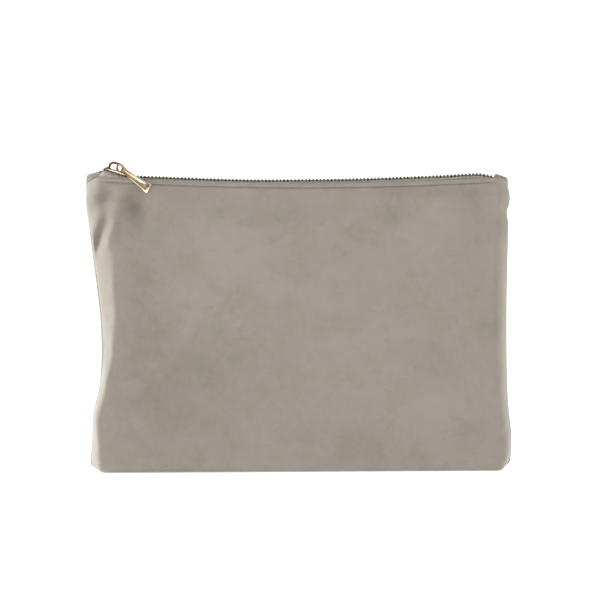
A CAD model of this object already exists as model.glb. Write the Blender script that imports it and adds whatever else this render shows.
from math import atan2, copysign, cos, exp, hypot, pi, radians, sin, sqrt, tau

import bpy
from mathutils import Matrix, Vector, noise
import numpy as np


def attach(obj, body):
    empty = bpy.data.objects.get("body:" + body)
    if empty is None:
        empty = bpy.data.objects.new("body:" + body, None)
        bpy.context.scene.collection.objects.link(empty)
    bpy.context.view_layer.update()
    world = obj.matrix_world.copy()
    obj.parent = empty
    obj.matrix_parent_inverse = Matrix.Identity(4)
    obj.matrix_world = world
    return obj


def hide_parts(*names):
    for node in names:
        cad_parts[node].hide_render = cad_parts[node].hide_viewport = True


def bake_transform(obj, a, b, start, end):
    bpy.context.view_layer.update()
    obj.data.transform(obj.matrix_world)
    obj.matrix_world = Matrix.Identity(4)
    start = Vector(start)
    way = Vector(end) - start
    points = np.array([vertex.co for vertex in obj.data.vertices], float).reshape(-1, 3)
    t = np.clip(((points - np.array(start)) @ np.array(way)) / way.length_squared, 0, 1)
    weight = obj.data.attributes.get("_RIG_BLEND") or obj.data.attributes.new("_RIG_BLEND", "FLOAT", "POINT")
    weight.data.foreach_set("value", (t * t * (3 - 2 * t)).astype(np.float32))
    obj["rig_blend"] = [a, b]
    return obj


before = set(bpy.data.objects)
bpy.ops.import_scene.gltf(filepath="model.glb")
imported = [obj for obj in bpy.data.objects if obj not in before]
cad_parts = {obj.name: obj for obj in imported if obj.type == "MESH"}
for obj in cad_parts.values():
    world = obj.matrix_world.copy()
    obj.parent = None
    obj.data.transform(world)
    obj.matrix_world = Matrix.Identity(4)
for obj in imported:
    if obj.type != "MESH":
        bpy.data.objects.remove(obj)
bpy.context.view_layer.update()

mm = 0.001
print("frame loaded")

bag = {
    "halfWidth": 146 * mm,
    "height": 199 * mm,
    "pinch": (9 * mm, 1.5 * mm),      # how far the left and right sides are drawn in
    "lean": 3 * mm,
    "rightInset": 0.9 * mm,
    "heel": (2.2 * mm, 38 * mm, 14 * mm),   # the lower left side stands out: how far, where, reach
    "rightRipples": ((0.9 * mm, 189 * mm, 9 * mm), (-1.3 * mm, 176 * mm, 5 * mm)),
    "topPull": (1.4 * mm, 17 * mm),   # the top corners are drawn in: how far, over what height
    "flare": 2.2 * mm,
    "flareHeight": 20 * mm,
    "cornerRadius": 9 * mm,
    "belly": 21 * mm,
    "topDepth": 6.8 * mm,
    "edgeDepth": 1.8 * mm,
    # from a side to full depth, by share of the height: the left and the right side
    "sideReach": (((0, 7), (0.15, 3.6), (0.28, 4.6), (0.42, 8), (0.58, 12), (0.75, 14.5), (0.88, 10),
                   (1, 10)),
                  ((0, 8), (0.30, 10), (0.60, 11), (1, 9))),
    "seamTurn": (4.2 * mm, 1.8 * mm),   # the left seam is drawn to the front and inward
    "cornerReach": 10 * mm,
    "cornerLift": 8 * mm,
    "foldMiddle": 195.7 * mm,
    "sag": 3.6 * mm,
    "sagReach": 125 * mm,
    "shoulder": 1.75,
    "crisp": 0.52,                    # the left flank is flatter, with a sharper front edge
}
mouth = {"left": -137 * mm, "right": 124 * mm, "fadeStart": 12 * mm, "fadeReach": 70 * mm}


def unit(t):
    return min(1.0, max(0.0, t))


def smooth(t):
    t = unit(t)
    return t * t * (3 - 2 * t)


def foldHeight(x):
    return bag["foldMiddle"] + bag["sag"] * min(1.4, (x / bag["sagReach"]) ** 2)


def sideEdges(z):
    share = unit(z / bag["height"])
    left = bag["lean"] * (1 - share) + bag["pinch"][0] * sin(pi * share ** 0.8) ** 2
    right = bag["rightInset"] + bag["pinch"][1] * sin(pi * share) ** 2
    right -= bag["flare"] * exp(-((z - bag["flareHeight"]) / bag["flareHeight"]) ** 2)
    out, middle, spread = bag["heel"]
    left -= out * exp(-((z - middle) / spread) ** 2)
    for push, middle, spread in bag["rightRipples"]:
        right -= push * exp(-((z - middle) / spread) ** 2)
    draw, reach = bag["topPull"]
    drawn = draw * smooth((z - bag["height"] + reach) / reach) ** 2
    left, right = left + drawn, right + drawn
    return left - bag["halfWidth"], bag["halfWidth"] - right


# reads a table of (place, value) pairs with smooth steps between them
def stepped(table, share):
    for (a, low), (b, high) in zip(table, table[1:]):
        if share <= b:
            return low + (high - low) * smooth((share - a) / (b - a))
    return table[-1][1]


def sideEase(fromSide, share, left):
    reach = stepped(bag["sideReach"][0 if left else 1], share) * mm
    power = bag["shoulder"]
    if left:
        power -= bag["crisp"] * smooth((share - 0.30) / 0.12) * smooth((0.90 - share) / 0.14)
    return 1 - (1 - unit(fromSide / reach)) ** power


# how far the left seam is drawn to the front and inward at this share of the height
def seamTurn(share):
    turn = smooth((share - 0.22) / 0.22) * smooth((0.93 - share) / 0.16)
    return bag["seamTurn"][0] * turn, bag["seamTurn"][1] * turn


def wallShare(z):
    base = bag["cornerRadius"]
    return unit((z - base) / (bag["height"] - base))


def fullDepth(share):
    swell = (bag["belly"] - bag["topDepth"]) * cos(pi / 2 * share ** 1.3)
    return bag["topDepth"] + swell


def wallDepth(x, z, nearness=1.0):
    left, right = sideEdges(z)
    share = wallShare(z)
    ease = sideEase(min(x - left, right - x) * nearness, share, x < 0)
    return bag["edgeDepth"] + (fullDepth(share) - bag["edgeDepth"]) * ease


# how far a point follows its wall: none at the sewn ends and the base, all in the middle
def openingWeight(x, z):
    t = (x - mouth["left"]) / (mouth["right"] - mouth["left"])
    return sin(pi * unit(t)) * smooth((z - mouth["fadeStart"]) / mouth["fadeReach"])


# sets a node's inputs and settings by name, with _ for a space
def setUp(node, **settings):
    for name, value in settings.items():
        title = name.replace("_", " ")
        if title in node.inputs:
            node.inputs[title].default_value = value
        else:
            setattr(node, name, value)
    return node


def addNode(tree, kind, **settings):
    return setUp(tree.nodes.new(kind), **settings)


def newGroup(name, inputs, outputs):
    group = bpy.data.node_groups.new(name, "ShaderNodeTree")
    for title, kind, value in inputs:
        socket = group.interface.new_socket(name=title, in_out="INPUT", socket_type=kind)
        socket.default_value = value
    for title, kind in outputs:
        group.interface.new_socket(name=title, in_out="OUTPUT", socket_type=kind)
    return group, group.nodes.new("NodeGroupInput"), group.nodes.new("NodeGroupOutput")


def makeMottleGroup():
    group, start, end = newGroup(
        "softMottle",
        (("Scale", "NodeSocketFloat", 30.0), ("Detail", "NodeSocketFloat", 5.0),
         ("Low", "NodeSocketFloat", 0.35), ("High", "NodeSocketFloat", 0.65),
         ("Stretch", "NodeSocketVector", (1.0, 1.0, 1.0))),
        (("Mask", "NodeSocketFloat"),))
    link, given = group.links.new, start.outputs
    place = group.nodes.new("ShaderNodeTexCoord")
    stretch = addNode(group, "ShaderNodeVectorMath", operation="MULTIPLY")
    cloud = addNode(group, "ShaderNodeTexNoise", Roughness=0.6, Distortion=0.5)
    span = group.nodes.new("ShaderNodeMapRange")
    link(place.outputs["Object"], stretch.inputs[0])
    link(given["Stretch"], stretch.inputs[1])
    link(stretch.outputs[0], cloud.inputs["Vector"])
    link(given["Scale"], cloud.inputs["Scale"])
    link(given["Detail"], cloud.inputs["Detail"])
    link(cloud.outputs[0], span.inputs["Value"])
    link(given["Low"], span.inputs["From Min"])
    link(given["High"], span.inputs["From Max"])
    link(span.outputs[0], end.inputs["Mask"])
    return group


def makeWeaveGroup():
    group, start, end = newGroup(
        "crossWeave",
        (("Threads", "NodeSocketFloat", 900.0), ("Slant", "NodeSocketVector", (1.0, 0.0, 0.0)),
         ("Cross", "NodeSocketVector", (0.0, 0.0, 1.0))),
        (("Height", "NodeSocketFloat"),))
    link = group.links.new
    place = group.nodes.new("ShaderNodeTexCoord")
    waves = []
    for title in ("Slant", "Cross"):
        along = addNode(group, "ShaderNodeVectorMath", operation="DOT_PRODUCT")
        link(place.outputs["Object"], along.inputs[0])
        link(start.outputs[title], along.inputs[1])
        count = addNode(group, "ShaderNodeMath", operation="MULTIPLY")
        link(along.outputs["Value"], count.inputs[0])
        link(start.outputs["Threads"], count.inputs[1])
        wave = addNode(group, "ShaderNodeMath", operation="SINE")
        link(count.outputs[0], wave.inputs[0])
        waves.append(wave)
    both = addNode(group, "ShaderNodeMath", operation="MULTIPLY")
    link(waves[0].outputs[0], both.inputs[0])
    link(waves[1].outputs[0], both.inputs[1])
    link(both.outputs[0], end.inputs["Height"])
    return group


mottleGroup = makeMottleGroup()
weaveGroup = makeWeaveGroup()


def newMaterial(name, roughness, metallic=0.0, **settings):
    material = bpy.data.materials.new(name)
    material.use_nodes = True
    tree = material.node_tree
    shader = tree.nodes["Principled BSDF"]
    setUp(shader, Roughness=roughness, Metallic=metallic, **settings)
    return material, tree, shader


def useGroup(tree, group, **settings):
    return addNode(tree, "ShaderNodeGroup", node_tree=group, **settings)


def mixColours(tree, mask, first, second):
    blend = addNode(tree, "ShaderNodeMix", data_type="RGBA")
    tree.links.new(mask, blend.inputs[0])
    for socket, colour in ((blend.inputs[6], first), (blend.inputs[7], second)):
        if hasattr(colour, "links"):
            tree.links.new(colour, socket)
        else:
            socket.default_value = (*colour, 1.0)
    return blend.outputs[2]


def paint(tree, shader, mask, first, second):
    tree.links.new(mixColours(tree, mask, first, second), shader.inputs["Base Color"])


def addBump(tree, shader, height, strength, distance, before=None):
    bump = addNode(tree, "ShaderNodeBump", Strength=strength, Distance=distance)
    tree.links.new(height, bump.inputs["Height"])
    if before:
        tree.links.new(before.outputs[0], bump.inputs["Normal"])
    tree.links.new(bump.outputs[0], shader.inputs["Normal"])
    return bump


velvetFinish = {
    "light": (0.262, 0.232, 0.198),
    "base": (0.240, 0.212, 0.179),
    "brushed": (0.199, 0.183, 0.149),
    "napped": (0.150, 0.135, 0.108),
    "worn": (0.318, 0.286, 0.248),
    "wear": 0.24,                     # how strongly the rubbed spots show
    "pileSize": 2600.0,
}


def makeVelvet():
    finish = velvetFinish
    material, tree, shader = newMaterial(
        "velvet", 0.92, Sheen_Weight=0.55, Sheen_Roughness=0.38,
        Sheen_Tint=(0.98, 0.95, 0.91, 1.0), Specular_IOR_Level=0.15)
    broad = useGroup(tree, mottleGroup, Scale=14.0, Detail=3.0, Low=0.38, High=0.66)
    brushed = useGroup(tree, mottleGroup, Scale=30.0, Detail=8.0, Low=0.48, High=0.80,
                       Stretch=(1.0, 1.0, 1.15))
    scuffed = useGroup(tree, mottleGroup, Scale=95.0, Detail=7.0, Low=0.55, High=0.86,
                       Stretch=(1.0, 1.0, 1.3))
    nap = useGroup(tree, mottleGroup, Scale=190.0, Detail=6.0, Low=0.30, High=0.72)
    colour = mixColours(tree, broad.outputs[0], finish["base"], finish["light"])
    colour = mixColours(tree, brushed.outputs[0], colour, finish["brushed"])
    colour = mixColours(tree, scuffed.outputs[0], colour, finish["brushed"])
    patches = addNode(tree, "ShaderNodeAttribute", attribute_name="nap")
    colour = mixColours(tree, patches.outputs["Fac"], colour, finish["napped"])
    soft = addNode(tree, "ShaderNodeMath", operation="MULTIPLY")
    soft.inputs[1].default_value = finish["wear"]
    tree.links.new(nap.outputs[0], soft.inputs[0])
    paint(tree, shader, soft.outputs[0], colour, finish["worn"])
    pile = useGroup(tree, mottleGroup, Scale=finish["pileSize"], Detail=2.0, Low=0.2, High=0.8)
    first = addBump(tree, shader, nap.outputs[0], 0.12, 0.0006)
    addBump(tree, shader, pile.outputs[0], 0.35, 0.00022, before=first)
    return material


liningFinish = {"dark": (0.36, 0.33, 0.29), "light": (0.43, 0.40, 0.36), "threads": 9000.0}


def makeLiningCloth():
    material, tree, shader = newMaterial("lining", 0.55, Sheen_Weight=0.15)
    cloud = useGroup(tree, mottleGroup, Scale=60.0, Detail=4.0)
    paint(tree, shader, cloud.outputs[0], liningFinish["dark"], liningFinish["light"])
    weave = useGroup(tree, weaveGroup, Threads=liningFinish["threads"])
    addBump(tree, shader, weave.outputs[0], 0.25, 0.0001)
    return material


tapeFinish = {"dark": (0.215, 0.196, 0.172), "light": (0.285, 0.262, 0.232),
              "raised": (0.33, 0.305, 0.272), "threads": 7800.0}


def makeTapeCloth():
    material, tree, shader = newMaterial("zipperTape", 0.82, Sheen_Weight=0.2)
    cloud = useGroup(tree, mottleGroup, Scale=500.0, Detail=3.0)
    weave = useGroup(tree, weaveGroup, Threads=tapeFinish["threads"], Slant=(0.7, 0.7, 0.2),
                     Cross=(0.7, -0.7, 0.4))
    shade = mixColours(tree, cloud.outputs[0], tapeFinish["dark"], tapeFinish["light"])
    paint(tree, shader, weave.outputs[0], shade, tapeFinish["raised"])
    addBump(tree, shader, weave.outputs[0], 0.6, 0.00015)
    return material


threadFinish = {"dark": (0.115, 0.103, 0.088), "light": (0.185, 0.168, 0.145), "twist": 1500.0}


def makeThread():
    material, tree, shader = newMaterial("thread", 0.6, Sheen_Weight=0.25)
    twist = addNode(tree, "ShaderNodeTexWave", Scale=threadFinish["twist"], Distortion=0.4,
                    bands_direction="DIAGONAL")
    place = tree.nodes.new("ShaderNodeTexCoord")
    tree.links.new(place.outputs["Object"], twist.inputs["Vector"])
    ply = twist.outputs["Fac"]
    paint(tree, shader, ply, threadFinish["dark"], threadFinish["light"])
    addBump(tree, shader, ply, 0.4, 0.0001)
    return material


# bright and tarnished colour, roughness, where the tarnish starts and is full, grain size
metalFinish = {
    "toothBrass": ((0.25, 0.205, 0.125), (0.035, 0.029, 0.020), 0.34, 0.36, 0.60, 2500.0),
    "sliderGold": ((0.74, 0.595, 0.395), (0.42, 0.31, 0.185), 0.17, 0.55, 0.85, 1800.0),
    "darkGold": ((0.26, 0.195, 0.115), (0.10, 0.072, 0.042), 0.22, 0.40, 0.70, 1800.0),
}


def makeMetal(name, bright, dark, roughness, darkLow, darkHigh, grainSize):
    material, tree, shader = newMaterial(name, roughness, 1.0)
    tarnish = useGroup(tree, mottleGroup, Scale=420.0, Detail=6.0, Low=darkLow, High=darkHigh)
    paint(tree, shader, tarnish.outputs[0], bright, dark)
    grain = useGroup(tree, mottleGroup, Scale=grainSize, Detail=4.0)
    span = addNode(tree, "ShaderNodeMapRange", To_Min=roughness * 0.8, To_Max=roughness * 1.35)
    tree.links.new(grain.outputs[0], span.inputs["Value"])
    tree.links.new(span.outputs[0], shader.inputs["Roughness"])
    addBump(tree, shader, grain.outputs[0], 0.05, 0.00005)
    return material


velvet = makeVelvet()
liningCloth = makeLiningCloth()
tapeCloth = makeTapeCloth()
thread = makeThread()
toothBrass, sliderGold, darkGold = (makeMetal(name, *finish) for name, finish in metalFinish.items())
print("materials made")


def addObject(name, data):
    thing = bpy.data.objects.new(name, data)
    bpy.context.scene.collection.objects.link(thing)
    return thing


def meshPiece(name, points, faces, material):
    mesh = bpy.data.meshes.new(name)
    mesh.from_pydata([tuple(p) for p in points], [], faces)
    mesh.update()
    mesh.materials.append(material)
    return addObject(name, mesh)


# a sheet of quads over rows of points
def gridPiece(name, points, columns, flip, material):
    faces = []
    for row in range(len(points) // columns - 1):
        for a in range(row * columns, (row + 1) * columns - 1):
            face = (a, a + 1, a + columns + 1, a + columns)
            faces.append(face[::-1] if flip else face)
    return meshPiece(name, points, faces, material)


def addPrimitive(name, add, **settings):
    bpy.ops.object.select_all(action="DESELECT")
    add(**settings)
    thing = bpy.context.active_object
    thing.name = name
    return thing


def pick(thing):
    bpy.ops.object.select_all(action="DESELECT")
    thing.select_set(True)
    bpy.context.view_layer.objects.active = thing


def editAll():
    bpy.ops.object.mode_set(mode="EDIT")
    bpy.ops.mesh.select_all(action="SELECT")


def endEdit():
    bpy.ops.object.mode_set(mode="OBJECT")


def addModifier(thing, kind, **settings):
    step = thing.modifiers.new(kind.lower(), kind)
    for name, value in settings.items():
        setattr(step, name, value)


def applyModifiers(thing):
    pick(thing)
    for step in list(thing.modifiers):
        bpy.ops.object.modifier_apply(modifier=step.name)


def finishMesh(thing, smoothAngle=None):
    applyModifiers(thing)
    editAll()
    bpy.ops.mesh.normals_make_consistent(inside=False)
    endEdit()
    if smoothAngle is None:
        bpy.ops.object.shade_smooth()
    else:
        bpy.ops.object.shade_smooth_by_angle(angle=radians(smoothAngle))
    return thing


def softenEdges(thing, width, segments=3, angle=30):
    addModifier(thing, "BEVEL", width=width, segments=segments, limit_method="ANGLE",
                angle_limit=radians(angle))
    applyModifiers(thing)


# joins or cuts with another piece, which is used up
def combine(base, other, operation):
    addModifier(base, "BOOLEAN", operation=operation, solver="EXACT", object=other)
    applyModifiers(base)
    bpy.data.objects.remove(other)


def extrude(move):
    bpy.ops.mesh.extrude_region_move(TRANSFORM_OT_translate={"value": move})


# selects faces by their middle and normal, and leaves the piece in edit mode
def selectFaces(thing, test):
    bpy.ops.mesh.select_all(action="DESELECT")
    endEdit()
    for face in thing.data.polygons:
        face.select = bool(test(face.center, face.normal))
        if face.select:
            for i in face.vertices:
                thing.data.vertices[i].select = True
    bpy.ops.object.mode_set(mode="EDIT")
    bpy.ops.mesh.select_mode(type="FACE")


# extrudes the furthest face in a direction, then moves and scales it about its middle
def extrudeFacing(thing, direction, move, scale):
    endEdit()
    furthest = max(face.center.dot(direction) for face in thing.data.polygons)
    bpy.ops.object.mode_set(mode="EDIT")
    selectFaces(thing, lambda c, n: c.dot(direction) > furthest - 1e-6 and n.dot(direction) > 0.9)
    extrude(move)
    bpy.ops.transform.resize(value=scale)


def sweep(name, path, radius, sides, material):
    curve = bpy.data.curves.new(name, "CURVE")
    curve.dimensions = "3D"
    curve.bevel_depth = radius
    curve.bevel_resolution = sides
    curve.use_fill_caps = True
    line = curve.splines.new("POLY")
    line.points.add(len(path) - 1)
    for knot, place in zip(line.points, path):
        knot.co = (*place, 1.0)
    pick(addObject(name, curve))
    bpy.ops.object.convert(target="MESH")
    rod = bpy.context.view_layer.objects.active
    rod.name = name
    rod.data.materials.clear()
    rod.data.materials.append(material)
    return rod


# the ends stay with the base, the rest follows the wall; small repeats move as one
def follow(thing, wall, centres):
    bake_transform(thing, "root", wall, start=(0, 0, 0.012), end=(0, 0, 0.197))
    weights = thing.data.attributes["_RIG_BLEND"].data
    for i, vertex in enumerate(thing.data.vertices):
        spot = centres[i] if centres else vertex.co
        weights[i].value = openingWeight(spot[0], spot[2])


def finishPiece(thing, nodes, body=None, wall=None, centres=None, smoothAngle=None):
    finishMesh(thing, smoothAngle)
    if nodes:
        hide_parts(*nodes)
    if wall:
        follow(thing, wall, centres)
    else:
        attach(thing, body)
    return thing


panel = {
    "columns": 190,
    "baseRows": 8,
    "cornerRows": 8,
    "wallRows": 130,
    "hemRows": 6,
    "cloth": 0.65 * mm,
    "foldRadius": 0.75 * mm,
    "hem": 9 * mm,
    "edgeRound": 1.9 * mm,
    "edgeSteps": 7,
    "groove": 0.8 * mm,
    "fineBand": 5.2 * mm,             # closer rows along the topstitching
    "fineRows": 13,
    "seamGap": 0.08 * mm,             # half the gap between the walls at the side seam
    "reliefDepth": 9 * mm,            # folds are full where the wall stands this deep
    "hemRoom": 2.2 * mm,              # the hem is full where the wall stands this deep
}
bothWalls = (("front", True), ("back", False))


def nearLine(x, z, ax, az, bx, bz):
    dx, dz = bx - ax, bz - az
    t = unit(((x - ax) * dx + (z - az) * dz) / (dx * dx + dz * dz))
    return hypot(x - ax - dx * t, z - az - dz * t), t


# each fold: start x, z, end x, z, height, half width, all in millimetres
frontFolds = (
    (-132, 173, -139, 150, -4.8, 3.6),
    (-125.5, 170, -132, 152, 2.0, 3.0),
    (-125, 194, -143, 174, -2.6, 6.0),
    (-122, 190, -126, 174, 1.3, 5.0),
    (-111, 192, -106, 170, -2.4, 7.0),
    (-112, 120, -108, 60, -0.5, 9.0),
    (-96, 190, -86, 150, 0.7, 10.0),
    (144, 31, 134, 20, -1.3, 2.2),
    (142, 26, 122, 30, 0.7, 5.0),
    (-136, 60, -120, 30, 0.9, 7.0),
    (-126, 44, -100, 18, -0.7, 7.0),
    (132, 185, 126, 120, -0.7, 7.0),
    (60, 190, 64, 150, -0.45, 16.0),
    (-20, 190, -30, 140, 0.4, 18.0),
)
backFolds = (
    (-133, 170, -124, 130, -1.2, 4.5),
    (134, 178, 126, 130, -1.4, 4.5),
    (-120, 180, -116, 90, 0.9, 9.0),
    (120, 176, 116, 80, 0.8, 9.0),
    (138, 34, 118, 24, 0.8, 6.0),
    (-138, 34, -118, 22, 0.8, 6.0),
    (10, 188, 20, 130, -0.5, 18.0),
)


# where the pile is brushed dark: middle x, z, half width, half height in millimetres, strength
frontNap = (
    (-111, 184, 9, 15, 0.75),
    (-135, 185, 9, 9, 0.45),
    (-134, 163, 4, 10, 0.55),
    (-98, 60, 42, 48, 0.42),
    (-108, 130, 15, 45, 0.40),
    (-50, 60, 40, 40, 0.15),
    (85, 191, 36, 4, 0.50),
    (120, 180, 11, 17, 0.30),
    (60, 177, 15, 9, 0.30),
    (92, 76, 20, 12, 0.26),
    (118, 30, 16, 9, 0.32),
    (-10, 175, 26, 9, 0.20),
    (30, 24, 40, 9, 0.22),
    (134, 120, 6, 30, 0.18),
)
backNap = (
    (-90, 150, 24, 18, 0.35),
    (60, 60, 36, 24, 0.35),
    (110, 170, 18, 14, 0.40),
    (-20, 100, 40, 30, 0.20),
)


# stores how dark the pile is brushed at each point of a panel
def brushNap(thing, patches):
    mask = thing.data.attributes.new("nap", "FLOAT", "POINT")
    for vertex in thing.data.vertices:
        spot = vertex.co
        ragged = ruffle(spot.x * 60, spot.z * 60, 2.3)
        ragged += 0.5 * ruffle(spot.x * 170, spot.z * 170, 8.1)
        dark = 0.0
        for x, z, wide, tall, strength in patches:
            away = hypot((spot.x - x * mm) / (wide * mm), (spot.z - z * mm) / (tall * mm))
            if away < 2.4:
                dark += strength * exp(-away ** 2) * (1 + 0.55 * ragged)
        mask.data[vertex.index].value = unit(dark)


# uneven cloth: height, how fine along and up, seed
unevenCloth = {"broad": (0.9, 16, 13, 0), "small": (0.30, 45, 38, 5), "side": (0.42, 25, 110, 9),
               "top": (0.35, 75, 20, 13), "base": (0.45, 60, 25, 17)}


def ruffle(x, y, z):
    return noise.noise(Vector((x, y, z)))


def uneven(kind, x, z, seed):
    height, along, up, shift = unevenCloth[kind]
    return height * ruffle(x * along, z * up, seed + shift)


def reliefAt(x, z, front):
    seed = 3.7 if front else 21.3
    left, right = sideEdges(z)
    fromSide = min(x - left, right - x)
    swell = uneven("broad", x, z, seed)
    swell += uneven("small", x, z, seed)
    swell += uneven("side", x, z, seed) * exp(-fromSide / (9 * mm))
    swell += uneven("top", x, z, seed) * exp(-(bag["height"] - z) / (14 * mm))
    swell += uneven("base", x, z, seed) * exp(-max(0.0, z - 8 * mm) / (10 * mm))
    for ax, az, bx, bz, height, width in frontFolds if front else backFolds:
        away, t = nearLine(x, z, ax * mm, az * mm, bx * mm, bz * mm)
        swell += height * exp(-(away / (width * mm)) ** 2) * (0.35 + 0.65 * sin(pi * t))
    topFade = smooth((foldHeight(x) - z) / (16 * mm))
    sideFade = smooth(fromSide / (4 * mm))
    return swell * mm * (0.18 + 0.82 * topFade) * sideFade


# half a cross-section from the bottom seam to the top fold, as (depth, height)
def outlinePoints(inset, floor, wallRows):
    radius = bag["cornerRadius"] - inset * 0.5
    foot = bag["belly"] - inset - radius
    points = []
    for i in range(panel["baseRows"]):
        share = i / panel["baseRows"]
        points.append((foot * (0.01 + 0.99 * share), floor))
    for i in range(panel["cornerRows"]):
        angle = pi / 2 * i / panel["cornerRows"]
        points.append((foot + radius * sin(angle), floor + radius * (1 - cos(angle))))
    base = floor + radius
    tall = bag["height"] - base
    shares = [i / wallRows for i in range(wallRows + 1)]
    if inset == 0:
        fine, steps = panel["fineBand"] / tall, panel["fineRows"]
        shares = [(1 - fine) * i / wallRows for i in range(wallRows)]
        shares += [1 - fine + fine * i / steps for i in range(steps + 1)]
    for share in shares:
        points.append((fullDepth(share) - inset, base + tall * share))
    return points


# the rolled edge above the topstitching and the groove of the thread:
# height in mm, how far below the fold, half width
seamRolls = ((0.28, 1.05 * mm, 0.6 * mm), (-0.62, 2.35 * mm, 0.55 * mm))


def seamRoll(height):
    below = bag["height"] - height
    return sum(rise * exp(-((below - at) / wide) ** 2) for rise, at, wide in seamRolls) * mm


# distances in from the nearer side, signed by side, closer together at the rounded edge
def crossPlaces(columns, halfWidth):
    edge = panel["edgeRound"]
    steps = panel["edgeSteps"]
    side = [edge * (1 - cos(pi / 2 * i / steps)) for i in range(steps)]
    inner = columns - 2 * steps
    middle = []
    for i in range(inner):
        u = 2 * i / (inner - 1) - 1
        u = 0.72 * u + 0.28 * sin(pi / 2 * u)
        middle.append(u * (halfWidth - edge))
    return [-(halfWidth - d) for d in side] + middle + [halfWidth - d for d in reversed(side)]


# how far the fold falls away at each top corner, and over what width
cornerDroop = ((5.0 * mm, 9 * mm), (3.0 * mm, 7 * mm))


def wallPoint(acrossShare, inset, floor, side, depth, height, pathShare, topDrop):
    nominal = bag["halfWidth"] - side
    fromSide = (1 - abs(acrossShare)) * nominal
    roundOff = min(1.0, fromSide / bag["cornerReach"])
    roundOff = sqrt(1 - (1 - roundOff) ** 2)
    bottom = floor + bag["cornerLift"]
    sideHeight = bottom + (bag["height"] - bottom) * pathShare
    z = sideHeight + (height - sideHeight) * roundOff
    left, right = sideEdges(z)
    left, right = left + side, right - side
    x = left + (right - left) * (acrossShare + 1) / 2
    ease = sideEase(fromSide, height / bag["height"], acrossShare < 0)
    edge = bag["edgeDepth"] if inset == 0 else 0.7 * mm
    if fromSide < panel["edgeRound"]:
        t = fromSide / panel["edgeRound"]
        edge *= sqrt(max(0.0, 1 - (1 - t) ** 2))
        edge = max(edge, panel["seamGap"])
    y = edge + (depth - edge) * ease
    z *= (foldHeight(x) - topDrop * smooth(z / bag["height"])) / bag["height"]
    droop, reach = cornerDroop[0 if x < 0 else 1]
    z -= droop * max(0.0, 1 - fromSide / reach) ** 1.6 * smooth((z / bag["height"] - 0.86) / 0.14)
    return x, y, z


def makeWall(name, front, material, inset=0.0, floor=0.0, side=0.0, topDrop=0.0,
             cloth=panel["cloth"], wallRows=panel["wallRows"], columns=panel["columns"]):
    outline = outlinePoints(inset, floor, wallRows)
    lengths = [0.0]
    for a, b in zip(outline, outline[1:]):
        lengths.append(lengths[-1] + hypot(b[0] - a[0], b[1] - a[1]))
    nominal = bag["halfWidth"] - side
    places = crossPlaces(columns, nominal)
    toward = -1 if front else 1
    outer = inset == 0                # the velvet, not the lining
    points = []
    for row, (depth, height) in enumerate(outline):
        share = lengths[row] / lengths[-1]
        for place in places:
            x, y, z = wallPoint(place / nominal, inset, floor, side, depth, height, share, topDrop)
            y += reliefAt(x, z, front) * smooth(depth / panel["reliefDepth"]) * smooth(z / (6 * mm))
            y = max(y, panel["seamGap"])
            fromSide = nominal - abs(place)
            if outer:
                y += seamRoll(height) * smooth((fromSide - 4 * mm) / (8 * mm))
            tuck = panel["groove"] * max(0.0, 1 - y / (1.1 * mm)) ** 2
            if outer and fromSide < 6 * mm:          # the side seam pulls in
                x += tuck if place < 0 else -tuck
            if outer and row < 5 and fromSide > 3 * mm:   # and so does the base seam
                z += 0.8 * mm * max(0.0, 1 - y / (2.2 * mm)) ** 2
            y *= toward
            if outer and place < 0:
                forward, inward = seamTurn(z / bag["height"])
                ease = sideEase(fromSide, z / bag["height"], True)
                x += inward * (exp(-fromSide / (4 * mm)) if front
                               else max(0.0, 1 - y / (3.4 * mm)) ** 2)
                y -= forward * (1 - ease)
            points.append((x, y, z))
    if outer:
        addHem(points, len(places), toward)
    wall = gridPiece(name, points, len(places), not front, material)
    addModifier(wall, "SOLIDIFY", thickness=cloth, offset=-1)
    applyModifiers(wall)
    return wall


# turns the top edge over and down inside
def addHem(points, columns, toward):
    top = points[-columns:]
    radius = panel["foldRadius"]
    turns = 6
    for angle in [pi * i / turns for i in range(1, turns + 1)]:
        for x, y, z in top:
            room = min(1.0, abs(y) / panel["hemRoom"])
            inward = radius * (1 - cos(angle)) * room
            aside = copysign(1.5 * mm * (1 - room) * sin(angle / 2), x)
            points.append((x - aside, y - toward * inward, z + radius * sin(angle) * 0.8))
    for i in range(1, panel["hemRows"] + 1):
        drop = panel["hem"] * i / panel["hemRows"]
        for x, y, z in top:
            height = max(0.0, z - drop)
            room = min(1.0, abs(y) / panel["hemRoom"])
            down = wallDepth(x, height) - wallDepth(x, z) + abs(y)
            aside = copysign(1.5 * mm * (1 - room), x)
            points.append((x - aside, toward * (down - 2 * radius * room), height))


for word, front in bothWalls:
    velvetPanel = makeWall(word + "Panel", front, velvet)
    brushNap(velvetPanel, frontNap if front else backNap)
    finishPiece(velvetPanel, [word + "_panel"], wall=word + "_wall")
print("velvet panels made")

liningShape = {"inset": 2.6 * mm, "floor": 5 * mm, "side": 10 * mm, "topDrop": 2 * mm,
               "cloth": 0.4 * mm, "wallRows": 60, "columns": 110}
for word, front in bothWalls:
    lining = makeWall(word + "Lining", front, liningCloth, **liningShape)
    finishPiece(lining, [word + "_lining"], wall=word + "_wall")
print("linings made")


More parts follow.
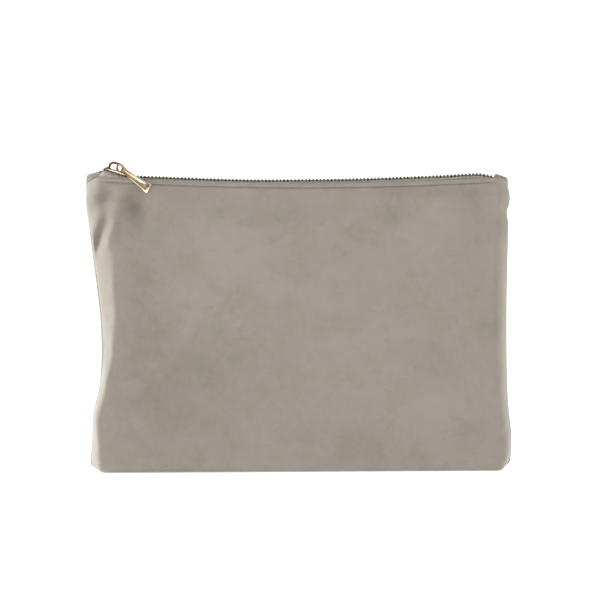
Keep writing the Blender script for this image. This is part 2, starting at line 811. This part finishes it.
zipper = {
    "toothPitch": 2.5 * mm,
    "firstTooth": -133.9 * mm,
    "lastTooth": 134.8 * mm,
    "tapeEnds": (-136.0 * mm, 136.2 * mm),
    "beadBack": 2.6 * mm,
    "shoulder": 3.2 * mm,
    "tapeDrop": 12 * mm,
    "tapeCloth": 0.5 * mm,
    "tapeGap": 1.87 * mm,             # the tape's middle lies this far behind the velvet
    "cordMiddle": 1.9 * mm,
    "cordRadius": 0.62 * mm,
    "rowSpread": 1.7 * mm,
    "chain": ((-146, 200.0), (-141, 200.6), (-136, 203.0), (-132.7, 205.2), (-125.4, 203.1),
              (-118.1, 200.9), (-109, 200.4), (-60, 198.6), (-25, 197.9), (40, 198.7),
              (100, 201.0), (124, 202.2), (135, 200.4), (146, 199.8)),
}
slider = {
    "at": Vector((-125.4 * mm, 0, 203.1 * mm)),
    "pitch": radians(17),
    "halfLength": 7.3 * mm,
    "channel": 1.6 * mm,
    "plate": 0.9 * mm,
    "nose": 5.5 * mm,
    "tail": 4.1 * mm,
    "flange": 0.85 * mm,
    "slot": 0.9 * mm,
}


def chainHeight(x):
    points = [(a * mm, b * mm) for a, b in zipper["chain"]]
    last = len(points) - 2
    i = 0
    while i < last and x > points[i + 1][0]:
        i += 1

    def slope(k):
        before, after = points[max(0, k - 1)], points[min(len(points) - 1, k + 1)]
        return (after[1] - before[1]) / (after[0] - before[0])

    span = points[i + 1][0] - points[i][0]
    t = (x - points[i][0]) / span
    rise = points[i + 1][1] - points[i][1]
    bendIn = slope(i) * span - rise
    bendOut = rise - slope(i + 1) * span
    return points[i][1] + rise * t + t * (1 - t) * (bendIn * (1 - t) + bendOut * t)


def rowSpread(x):
    return zipper["rowSpread"] * smooth((-120.5 * mm - x) / (10.5 * mm))


def sliderHalfWidth(along):
    wider = slider["nose"] - slider["tail"]
    return slider["tail"] + wider * smooth((0.5 - along) / 1.2)


# where the tape bends down beside the teeth or the slider
def tapeTurn(x):
    along = (x - slider["at"].x) / slider["halfLength"]
    turn = zipper["shoulder"]
    if abs(along) < 1.6:
        turn = sliderHalfWidth(along) + 1.15 * mm
        turn += (zipper["shoulder"] - turn) * smooth((abs(along) - 1.1) / 0.3)
    return max(turn, zipper["beadBack"] + rowSpread(x) + 1.0 * mm)


def tapeRows(x):
    chain, fold = chainHeight(x), foldHeight(x)
    turn = tapeTurn(x)
    cloth = zipper["tapeCloth"]

    def behind(drop):
        z = bag["height"] - drop
        dent = min(0, reliefAt(x, fold - drop, True), reliefAt(x, fold - drop, False))
        dent *= smooth(fullDepth(wallShare(z)) / panel["reliefDepth"])
        return wallDepth(x, z, 0.84) + dent - zipper["tapeGap"] - cloth / 2

    drop = zipper["tapeDrop"]
    start = zipper["beadBack"] - 0.5 * mm + rowSpread(x)
    low = max(chain - 3.6 * mm, fold + 0.5 * mm)
    return ((start, chain - 0.1 * mm), ((start + turn) / 2, chain - 0.6 * mm),
            (turn, chain - 0.35 * (chain - low) - 0.5 * mm),
            (turn + 0.15 * mm, chain - 0.75 * (chain - low)), (turn, low),
            (behind(0.5 * mm), fold - 0.5 * mm), (behind(drop / 3), fold - drop / 3),
            (behind(drop * 2 / 3), fold - drop * 2 / 3), (behind(drop), fold - drop))


def makeTape(word, front):
    toward = -1 if front else 1
    start, end = zipper["tapeEnds"]
    columns = 260
    stations = [start + (end - start) * i / (columns - 1) for i in range(columns)]
    sections = [tapeRows(x) for x in stations]
    points = []
    for row in range(len(sections[0])):
        for x, section in zip(stations, sections):
            depth, z = section[row]
            points.append((x, toward * depth, z))
    tape = gridPiece(word + "Tape", points, columns, not front, tapeCloth)
    addModifier(tape, "SOLIDIFY", thickness=zipper["tapeCloth"], offset=0)
    addModifier(tape, "SUBSURF", levels=1, render_levels=1)
    finishPiece(tape, [word + "_tape"], wall=word + "_wall")


# the thick edge of the tape that the teeth are clamped on
def makeTapeCord(word, front):
    toward = -1 if front else 1
    first, last = zipper["firstTooth"] - 1.5 * mm, zipper["lastTooth"] + 0.8 * mm
    steps = 200
    path = []
    for i in range(steps):
        x = first + (last - first) * i / (steps - 1)
        path.append((x, toward * (zipper["cordMiddle"] + rowSpread(x)), chainHeight(x)))
    cordEdge = sweep(word + "TapeEdge", path, zipper["cordRadius"], 2, tapeCloth)
    finishPiece(cordEdge, [], wall=word + "_wall")


for word, front in bothWalls:
    makeTape(word, front)
    makeTapeCord(word, front)
print("tapes made")


tooth = {
    "length": 1.35 * mm,
    "tip": 0.5 * mm,
    "root": 1.5 * mm,
    "clampBack": 3.0 * mm,
    "halfHeight": 1.3 * mm,
    "crown": 0.42,                    # how long a tooth is at its top, beside its middle
    "neckStart": 0.6 * mm,
    "lean": 0.30 * mm,                # the front row stands this much higher, the back row lower
}


# one tooth: a clamp round the tape's edge, a waist, and a head
def addTooth():
    thing = addPrimitive("tooth", bpy.ops.mesh.primitive_cube_add, size=1)
    length, high = tooth["length"], tooth["halfHeight"]
    root, neck = tooth["root"], tooth["neckStart"]
    for vertex in thing.data.vertices:
        vertex.co.x *= length
        vertex.co.z *= high
        vertex.co.y = tooth["clampBack"] if vertex.co.y > 0 else root
    bpy.ops.object.mode_set(mode="EDIT")
    bpy.ops.mesh.select_mode(type="FACE")
    for up in (1, -1):
        extrudeFacing(thing, Vector((0, 0, up)), (0, 0, up * high / 2), (tooth["crown"], 0.9, 1))
    inward = Vector((0, -1, 0))
    extrudeFacing(thing, inward, (0, -(root - neck), 0), (0.8, 1, 0.8))
    extrudeFacing(thing, inward, (0, -(neck + tooth["tip"]), 0), (0.92, 1, 0.9))
    endEdit()
    return finishMesh(thing, 35)


# copies of one small piece, each with its own mesh, joined into one; gives each point's place
def placeRow(name, master, places, material):
    points, faces, centres = [], [], []
    shape = [vertex.co.copy() for vertex in master.data.vertices]
    polygons = [tuple(face.vertices) for face in master.data.polygons]
    for place in places:
        first = len(points)
        middle = place.translation
        points += [place @ corner for corner in shape]
        centres += [(middle.x, middle.y, middle.z)] * len(shape)
        faces += [tuple(first + i for i in face) for face in polygons]
    return meshPiece(name, points, faces, material), centres


def chainSlope(x):
    step = 0.4 * mm
    return atan2(chainHeight(x + step) - chainHeight(x - step), 2 * step)


def makeTeeth():
    master = addTooth()
    pitch = zipper["toothPitch"]
    for word, front in bothWalls:
        first = zipper["firstTooth"] + (0 if front else pitch / 2)
        count = int((zipper["lastTooth"] - first) / pitch)
        places = []
        for i in range(count):
            x = first + pitch * (i + 0.5)
            side = -rowSpread(x) if front else rowSpread(x)
            level = chainHeight(x) + (tooth["lean"] if front else -tooth["lean"])
            spot = Matrix.Translation((x, side, level))
            spot = spot @ Matrix.Rotation(-chainSlope(x), 4, "Y")
            if front:
                spot = spot @ Matrix.Rotation(pi, 4, "Z")
            places.append(spot)
        row, centres = placeRow(word + "Teeth", master, places, toothBrass)
        finishPiece(row, [word + "_teeth"], wall=word + "_wall", centres=centres,
                    smoothAngle=35)
    bpy.data.objects.remove(master)


makeTeeth()
print("teeth made")


stitch = {"length": 2.7 * mm, "pitch": 3.3 * mm, "radius": 0.27 * mm, "drop": 2.3 * mm,
          "ends": (-132 * mm, 135 * mm)}


# one stitch: a short thread that dips into the cloth at both ends
def addStitch():
    half = stitch["length"] / 2
    path = []
    for i in range(9):
        t = 2 * i / 8 - 1
        path.append((t * half, 0, (0.16 - 0.42 * t ** 4) * mm))
    return finishMesh(sweep("stitch", path, stitch["radius"], 1, thread))


def panelSurface(x, z, front):
    height = z * bag["height"] / foldHeight(x)
    return wallDepth(x, height) + reliefAt(x, z, front) + seamRoll(height) * 0.8


def makeStitches():
    master = addStitch()
    first, last = stitch["ends"]
    count = int((last - first) / stitch["pitch"])
    for word, front in bothWalls:
        toward = -1 if front else 1
        places = []
        for i in range(count):
            x = first + stitch["pitch"] * (i + 0.5)
            z = foldHeight(x) - stitch["drop"]
            step = 1.2 * mm
            here = Vector((x, toward * panelSurface(x, z, front), z))
            ahead = Vector((x + step, toward * panelSurface(x + step, z, front),
                            foldHeight(x + step) - stitch["drop"]))
            run = (ahead - here).normalized()
            out = Vector((0, toward, 0.05))
            side = out.cross(run).normalized()
            out = run.cross(side).normalized()
            turn = Matrix((run, side, out)).transposed().to_4x4()
            places.append(Matrix.Translation(here) @ turn)
        row, centres = placeRow(word + "Topstitch", master, places, thread)
        finishPiece(row, [word + "_topstitch"], wall=word + "_wall", centres=centres,
                    smoothAngle=35)
    bpy.data.objects.remove(master)


makeStitches()
print("topstitching made")


# side, outer end, inner end, half depth, top, height, how far the top falls to the outer end
tabs = (
    ("left", -145.0 * mm, -134.4 * mm, 3.6 * mm, 205.0 * mm, 19 * mm, 2.7 * mm),
    ("right", 144.4 * mm, 134.6 * mm, 4.0 * mm, 204.0 * mm, 19 * mm, 3.4 * mm),
)


# a velvet tab folded over the tape's end, narrow at the side edge
def makeTab(word, outer, inner, halfDepth, top, tall, fall):
    tab = addPrimitive(word + "EndTab", bpy.ops.mesh.primitive_cube_add, size=1)
    pinch = 1.2 * mm
    for vertex in tab.data.vertices:
        atOuter = (vertex.co.x < 0) == (outer < inner)
        up = vertex.co.z > 0
        vertex.co.x = outer if atOuter else inner
        deep = pinch if atOuter else halfDepth
        vertex.co.y = copysign(deep if up else deep * 0.45, vertex.co.y)
        drop = fall if atOuter else 0
        vertex.co.z = top - drop if up else top - tall
    editAll()
    bpy.ops.mesh.subdivide(number_cuts=2)
    endEdit()
    addModifier(tab, "SUBSURF", levels=3, render_levels=3)
    tab.data.materials.append(velvet)
    finishMesh(tab)
    for vertex in tab.data.vertices:
        vertex.co += vertex.normal * 0.25 * mm * noise.noise(vertex.co * 380)
    finishPiece(tab, [word + "_end_tab"], body="root")


for settings in tabs:
    makeTab(*settings)


# a metal clamp pressed round the tape's edge
def makeStop(name, node, low, high, bend):
    stop = addPrimitive(name, bpy.ops.mesh.primitive_cube_add, size=1)
    for vertex in stop.data.vertices:
        for axis in range(3):
            vertex.co[axis] = high[axis] if vertex.co[axis] > 0 else low[axis]
    editAll()
    bpy.ops.mesh.subdivide(number_cuts=1)
    endEdit()
    middle = [(a + b) / 2 for a, b in zip(low, high)]
    for vertex in stop.data.vertices:
        if abs(vertex.co.z - middle[2]) < 1e-6:
            vertex.co.y += bend * (1 if vertex.co.y > middle[1] else -1)
    softenEdges(stop, 0.25 * mm)
    stop.data.materials.append(toothBrass)
    finishPiece(stop, [node], body="root", smoothAngle=40)


stopHeight = chainHeight(-135.1 * mm)
for word, side in (("front", -1), ("back", 1)):
    near, far = sorted((side * 2.3 * mm, side * 4.3 * mm))
    makeStop(word + "TopStop", word + "_top_stop",
             (-135.9 * mm, near, stopHeight - 1.3 * mm),
             (-134.3 * mm, far, stopHeight + 1.3 * mm), 0.12 * mm)
stopHeight = chainHeight(136 * mm)
makeStop("bottomStop", "bottom_stop", (135.3 * mm, -2.0 * mm, stopHeight - 1.4 * mm),
         (136.5 * mm, 2.0 * mm, stopHeight + 1.0 * mm), 0.1 * mm)
print("tabs and stops made")


sliderFrame = Matrix.Translation(slider["at"]) @ Matrix.Rotation(slider["pitch"], 4, "Y")


# a plate cut to an outline, from one filled circle moved onto it and extruded
def outlinePlate(name, outline, low, high, material):
    plate = addPrimitive(name, bpy.ops.mesh.primitive_circle_add, vertices=len(outline), radius=1,
                         fill_type="NGON")
    for vertex, (a, b) in zip(plate.data.vertices, outline):
        vertex.co = (a, b, low)
    editAll()
    extrude((0, 0, high - low))
    bpy.ops.mesh.select_all(action="SELECT")
    bpy.ops.mesh.normals_make_consistent(inside=False)
    endEdit()
    plate.data.materials.append(material)
    return plate


def oval(middle, wide, tall, count):
    return [(middle + wide * cos(a), tall * sin(a)) for a in (tau * i / count for i in range(count))]


# one wing plate with its two flanges bent toward the other plate
def sliderShell(name, side):
    half = slider["halfLength"]
    edge = []
    for i in range(-12, 13):
        s = i / 12
        edge.append((half * s, sliderHalfWidth(s) * (1 - 0.10 * s ** 6)))
    ends = [(half * 1.03, 0)]
    outline = edge + ends + [(x, -y) for x, y in reversed(edge)] + [(-half * 1.06, 0)]
    low, high = slider["channel"], slider["channel"] + slider["plate"]
    shell = outlinePlate(name, outline, low, high, sliderGold)
    bpy.ops.object.mode_set(mode="EDIT")
    selectFaces(shell, lambda c, n: n.z < -0.9)
    bpy.ops.mesh.inset(thickness=slider["flange"])
    selectFaces(shell, lambda c, n: n.z < -0.9 and abs(c.x) < half * 0.93
                and abs(c.y) > slider["tail"] - slider["flange"])
    extrude((0, 0, slider["slot"] - slider["channel"]))
    endEdit()
    softenEdges(shell, 0.22 * mm)
    if side < 0:
        shell.data.transform(Matrix.Rotation(pi, 4, "X"))
    return shell


def makeSlider():
    body = sliderShell("sliderBody", 1)
    lower = sliderShell("lowerPlate", -1)
    half = slider["halfLength"]
    nose = -half
    diamond = [(nose + 0.3 * mm, 0.5 * mm), (nose + 0.3 * mm, -0.5 * mm),
               (nose + 1.6 * mm, -0.95 * mm), (nose + 3.6 * mm, 0), (nose + 1.6 * mm, 0.95 * mm)]
    top = slider["channel"] + slider["plate"] / 2
    post = outlinePlate("diamond", diamond, -top, top, sliderGold)
    combine(body, lower, "UNION")
    combine(body, post, "UNION")
    body.data.transform(sliderFrame)
    finishPiece(body, ["slider_body"], body="slider", smoothAngle=40)


bail = {"radius": 0.85 * mm, "legs": (-5.0 * mm, 4.1 * mm), "height": 7.0 * mm,
        "pivot": (2.0 * mm, 4.9 * mm), "pad": (1.35 * mm, 1.25 * mm)}


# the arch that carries the pull, its feet riveted to the top plate
def makeBail():
    left, right = bail["legs"]
    foot = slider["channel"] + slider["plate"] * 0.6
    radius = right - bail["pivot"][0]
    shoulder = bail["height"] - radius
    path = [(left, foot), (left, foot + 0.8 * mm), (left, shoulder - 0.6 * mm)]
    for i in range(1, 9):
        angle = pi / 2 * i / 8
        path.append((left + 2.6 * mm * (1 - cos(angle)),
                     shoulder - 0.6 * mm + (radius + 0.6 * mm) * sin(angle)))
    for i in range(9):
        angle = pi / 2 * (1 - i / 8)
        path.append((bail["pivot"][0] + radius * cos(angle),
                     shoulder + radius * sin(angle)))
    path.append((right, foot))
    arch = sweep("sliderBail", [(x, 0, z) for x, z in path], bail["radius"], 5, darkGold)
    for x in (left, right):
        pad = outlinePlate("footPad", oval(x, *bail["pad"], 20), foot - 0.2 * mm,
                           foot + 0.75 * mm, darkGold)
        softenEdges(pad, 0.25 * mm)
        combine(arch, pad, "UNION")
    arch.data.transform(sliderFrame)
    finishPiece(arch, ["slider_bail"], body="slider", smoothAngle=45)


makeSlider()
makeBail()


pull = {
    "sweep": radians(-37.0),     # down to the right
    "lean": radians(37),         # out over the front
    "roll": radians(78),         # the broad face turns to the front
    "eye": Vector((-121.8 * mm, -1.0 * mm, 206.9 * mm)),
    "end": 30.2 * mm,
    "half": 0.75 * mm,
    "head": -3.3 * mm,
    "headHalf": 2.9 * mm,
    "neckHalf": 1.85 * mm,
    "tipHalf": 3.2 * mm,
    "endThick": 1.9 * mm,
    "grooveDepth": 0.75 * mm,
    "hole": (2.3 * mm, 2.0 * mm),
}


# the eye's middle and the pull's length, width and face directions
def pullPlace():
    flat = Vector((cos(pull["sweep"]), 0, sin(pull["sweep"])))
    length = flat * cos(pull["lean"]) + Vector((0, -sin(pull["lean"]), 0))
    above = sliderFrame.to_3x3() @ Vector((0, 0, 1))
    width = above.cross(length).normalized()
    width = Matrix.Rotation(-pull["roll"], 3, length) @ width
    turn = Matrix((length, -width, -length.cross(width))).transposed().to_4x4()
    return Matrix.Translation(pull["eye"]) @ turn


# a fishtail bar: an eye at the head, a slim waist, and a split flare with a chamfered end
def makePull():
    head, end, thick = pull["head"], pull["end"], pull["half"]
    neck, tip = pull["neckHalf"], pull["tipHalf"]
    half = [(head, 0)]
    for i in range(1, 9):
        angle = pi / 2 * i / 8
        half.append((head + 2.9 * mm * (1 - cos(angle)), pull["headHalf"] * sin(angle)))
    half += [(1.0 * mm, pull["headHalf"]), (3.0 * mm, 2.45 * mm), (5.4 * mm, neck + 0.1 * mm),
             (9 * mm, neck), (14 * mm, neck), (18 * mm, neck + 0.2 * mm),
             (end - 5.2 * mm, neck + 0.62 * mm), (end - 2.2 * mm, tip), (end, tip * 0.97)]
    outline = half + [(s, -w) for s, w in reversed(half[1:])]
    tab = outlinePlate("pullTab", outline, -thick, thick, sliderGold)
    start = end - 3.6 * mm
    endCap = [(start, neck + 0.9 * mm), (start, -neck - 0.9 * mm), (end - 2.2 * mm, -tip),
              (end, -tip * 0.97), (end, tip * 0.97), (end - 2.2 * mm, tip)]
    block = outlinePlate("endBlock", endCap, -thick - pull["endThick"], 0, sliderGold)
    for vertex in block.data.vertices:
        if vertex.co.z < -thick:
            vertex.co.x = max(vertex.co.x, start + 1.1 * mm)
            vertex.co.y *= 0.9
    combine(tab, block, "UNION")
    side = [(4.4 * mm, 0.3 * mm), (6 * mm, 0.55 * mm), (end - 9.5 * mm, 0.62 * mm),
            (start, 1.95 * mm)]
    groove = side + [(s, -w) for s, w in reversed(side)]
    cutter = outlinePlate("grooveCutter", groove, thick - pull["grooveDepth"], thick + 3 * mm,
                          darkGold)
    combine(tab, cutter, "DIFFERENCE")
    cutter = outlinePlate("eyeCutter", oval(0, *pull["hole"], 32), -3 * mm, 3 * mm, sliderGold)
    combine(tab, cutter, "DIFFERENCE")
    softenEdges(tab, 0.18 * mm, segments=2, angle=35)
    tab.data.transform(pullPlace())
    finishPiece(tab, ["pull_tab"], body="pull", smoothAngle=38)


makePull()
print("slider and pull made")


def finishSeam(name, node, points, columns, cloth):
    seam = gridPiece(name, points, columns, True, velvet)
    addModifier(seam, "SOLIDIFY", thickness=cloth, offset=0)
    finishPiece(seam, [node], body="root")


# the two seam allowances that stand up inside the base
def makeBottomSeam():
    columns, rows = 120, 6
    points = []
    for row in range(rows):
        for i in range(columns):
            x = -124 * mm + 248 * mm * i / (columns - 1)
            rise = row / (rows - 1)
            wave = 0.5 * mm * rise * ruffle(x * 60, rise, 4.2)
            points.append((x, wave, 1.9 * mm + 2.7 * mm * rise))
    finishSeam("bottomSeam", "bottom_seam", points, columns, 1.1 * mm)


# the side allowances, pressed together inside the edge
def makeSideSeam(word, left):
    rows, columns = 60, 6
    points = []
    for row in range(rows):
        z = (14 + 172 * row / (rows - 1)) * mm
        edge = sideEdges(z)[0 if left else 1]
        forward, inward = seamTurn(z / bag["height"]) if left else (0, 0)
        for column in range(columns):
            deep = 2.2 * mm + 4.5 * mm * column / (columns - 1)
            wave = 0.3 * mm * ruffle(z * 70, column * 0.3, 6.1)
            x = edge + inward + deep if left else edge - deep
            points.append((x, wave - forward * (1 - deep / (9 * mm)), z))
    finishSeam(word + "SideSeam", word + "_side_seam", points, columns, 0.9 * mm)


makeBottomSeam()
makeSideSeam("left", True)
makeSideSeam("right", False)
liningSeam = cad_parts["lining_seam"].data.materials
liningSeam.clear()
liningSeam.append(liningCloth)
print("hidden seams made")


studio = {
    "floorTone": 0.90,
    "floorGlow": 0.6,
    "world": (0.16, 1.0, 0.85),       # strength from the front, from behind and from above
    # x, y, z, size, power, colour
    "key": (-1.35, -0.13, 0.50, 0.9, 31.0, (0.90, 0.95, 1.0)),
    "fill": (0.35, -1.6, 0.55, 1.1, 5.5),
    "rim": (1.35, -0.30, 0.45, 0.8, 7.0),
    "aim": Vector((1 * mm, 0, 116.8 * mm)),
    "azimuth": radians(-4),
    "elevation": radians(1.2),
    "distance": 2.055,
    "lens": 180,
}


def makeFloor():
    rows, columns = 40, 3
    points = []
    for row in range(rows):
        for column in range(columns):
            side = (column - 1) * 4.0
            t = row / (rows - 1)
            if t < 0.5:
                y, z = -4.5 + t * 14.6, 0.0
            else:
                angle = pi / 2 * (t - 0.5) / 0.5
                y, z = 2.8 + 1.6 * sin(angle), 1.6 * (1 - cos(angle))
            points.append((side, y, z - 0.0002))
    material, tree, shader = newMaterial("paper", 0.9, Emission_Color=(1, 1, 1, 1),
                                         Emission_Strength=studio["floorGlow"])
    grain = useGroup(tree, mottleGroup, Scale=3.0)
    tone = studio["floorTone"]
    paint(tree, shader, grain.outputs[0], (tone,) * 3, (tone * 0.985,) * 3)
    floor = gridPiece("paperSweep", points, columns, False, material)
    floor.data.shade_smooth()


def addLight(name, x, y, z, size, power, colour=(1, 1, 1)):
    lamp = bpy.data.lights.new(name, "AREA")
    lamp.color = colour
    lamp.shape = "DISK"
    lamp.size = size
    lamp.energy = power
    thing = addObject(name, lamp)
    thing.location = (x, y, z)
    toward = studio["aim"] - thing.location
    thing.rotation_euler = toward.to_track_quat("-Z", "Y").to_euler()
    thing.visible_glossy = False      # the metal mirrors the room, not the bare lamps


# pale from above and behind, dimmer in front, and plain white to the camera
def makeRoom():
    world = bpy.data.worlds.new("softRoom")
    bpy.context.scene.world = world
    world.use_nodes = True
    tree = world.node_tree
    link = tree.links.new
    front, behind, top = studio["world"]
    sky = setUp(tree.nodes["Background"], Color=(1, 1, 1, 1))
    place = tree.nodes.new("ShaderNodeTexCoord")
    split = tree.nodes.new("ShaderNodeSeparateXYZ")
    span = addNode(tree, "ShaderNodeMapRange", interpolation_type="SMOOTHSTEP", From_Min=-0.6,
                   From_Max=0.9, To_Min=front, To_Max=behind)
    above = addNode(tree, "ShaderNodeMapRange", interpolation_type="SMOOTHSTEP", From_Min=0.25,
                    From_Max=0.75, To_Max=top)
    most = addNode(tree, "ShaderNodeMath", operation="MAXIMUM")
    seen = tree.nodes.new("ShaderNodeLightPath")
    strength = addNode(tree, "ShaderNodeMath", operation="MAXIMUM")
    link(place.outputs["Generated"], split.inputs[0])
    link(split.outputs["Y"], span.inputs["Value"])
    link(split.outputs["Z"], above.inputs["Value"])
    link(span.outputs[0], most.inputs[0])
    link(above.outputs[0], most.inputs[1])
    link(most.outputs[0], strength.inputs[0])
    link(seen.outputs["Is Camera Ray"], strength.inputs[1])
    link(strength.outputs[0], sky.inputs["Strength"])
    bpy.context.scene.view_settings.view_transform = "Standard"


def addCamera():
    lens = bpy.data.cameras.new("camera")
    lens.lens = studio["lens"]
    lens.sensor_width = 36
    lens.clip_end = 50
    camera = addObject("camera", lens)
    turn, rise = studio["azimuth"], studio["elevation"]
    back = Vector((sin(turn) * cos(rise), -cos(turn) * cos(rise), sin(rise)))
    camera.location = studio["aim"] + back * studio["distance"]
    camera.rotation_euler = (-back).to_track_quat("-Z", "Y").to_euler()
    bpy.context.scene.camera = camera


makeFloor()
for name in ("key", "fill", "rim"):
    addLight(name, *studio[name])
makeRoom()
addCamera()
print("studio made")
